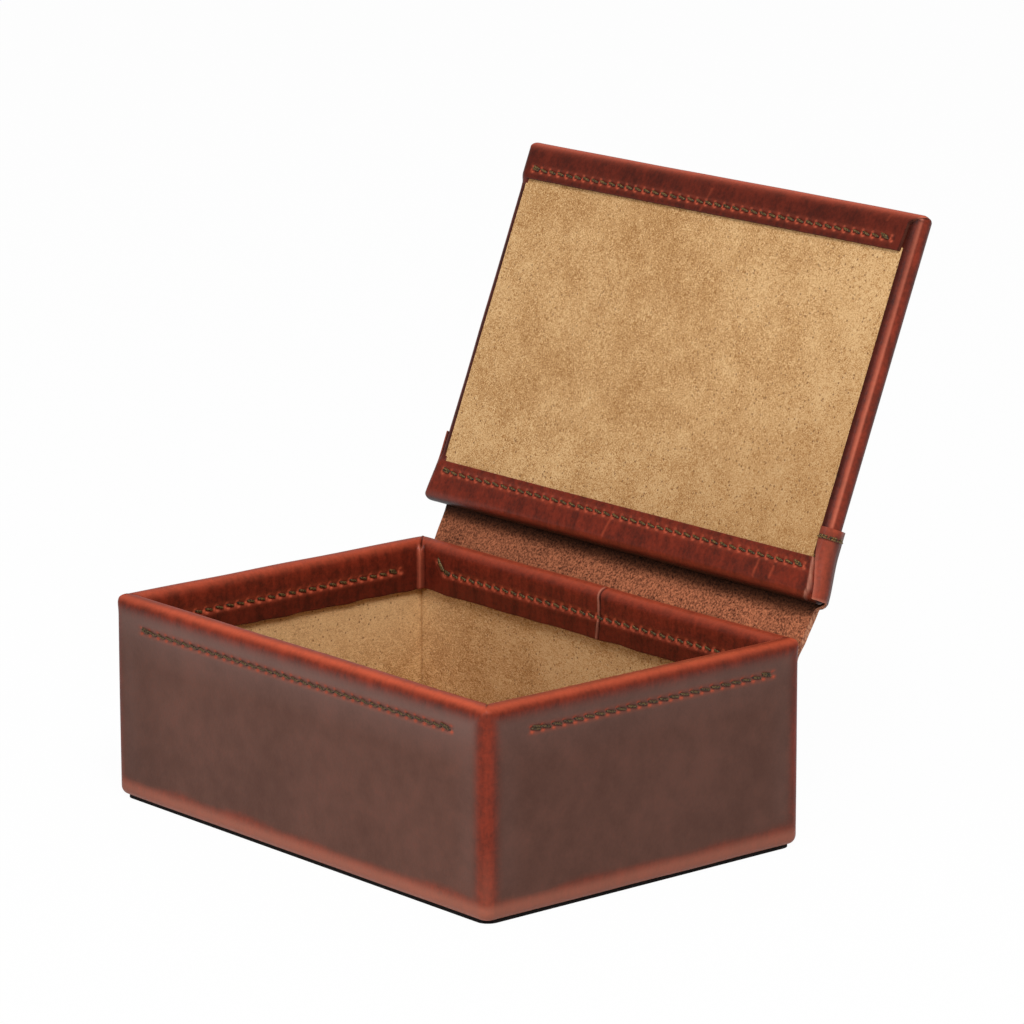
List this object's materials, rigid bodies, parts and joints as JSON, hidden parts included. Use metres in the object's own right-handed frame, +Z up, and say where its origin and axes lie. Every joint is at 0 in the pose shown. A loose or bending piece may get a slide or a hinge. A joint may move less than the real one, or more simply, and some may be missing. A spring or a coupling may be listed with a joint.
{
  "type": "organizer box",
  "caption": "Rectangular leather-covered organizer box with a suede lining, sewn rim margins and a flat lid on a leather hinge, shown standing open.",
  "frame": {"origin": "centre of the flat underside that the box stands on", "axes": "+X to the right along the hinge, +Y to the rear, +Z up"},
  "size_m": [0.21, 0.2011, 0.214],
  "materials": {
    "leather": "waxed pull-up leather, dull brown on the flats and red-brown where it is stretched",
    "hinge_leather": "the same leather, flesh side towards the box",
    "suede": "tan suede with dark pores",
    "thread": "waxed sewing thread",
    "board": "raw fibre board",
    "base_sheet": "dark leather-fibre sheet"
  },
  "bodies": {
    "box": {"outer_wrap": "leather", "base_cover": "base_sheet", "base_infill": "board", "base_board": "board", "front_board": "board", "rear_board": "board", "left_board": "board", "right_board": "board", "floor_lining": "suede", "front_lining": "suede", "rear_lining": "suede", "left_lining": "suede", "right_lining": "suede", "hinge_tab": "hinge_leather", "hinge_flap": "hinge_leather", "front_stitches": "thread", "rear_stitches": "thread", "left_stitches": "thread", "right_stitches": "thread"},
    "lid": {"lid_cover": "leather", "lid_board": "board", "lid_lining": "suede", "hinge_sleeve": "hinge_leather", "lid_front_stitches": "thread", "lid_rear_stitches": "thread", "hinge_stitches": "thread"}
  },
  "joints": [
    {"name": "lid_hinge", "type": "hinge", "parent": "box", "child": "lid", "pos_m": [0, 0.0747, 0.0807], "axis": [-1, 0, 0], "range_deg": [-111.8, 99], "deforming": ["hinge_flap"]}
  ]
}
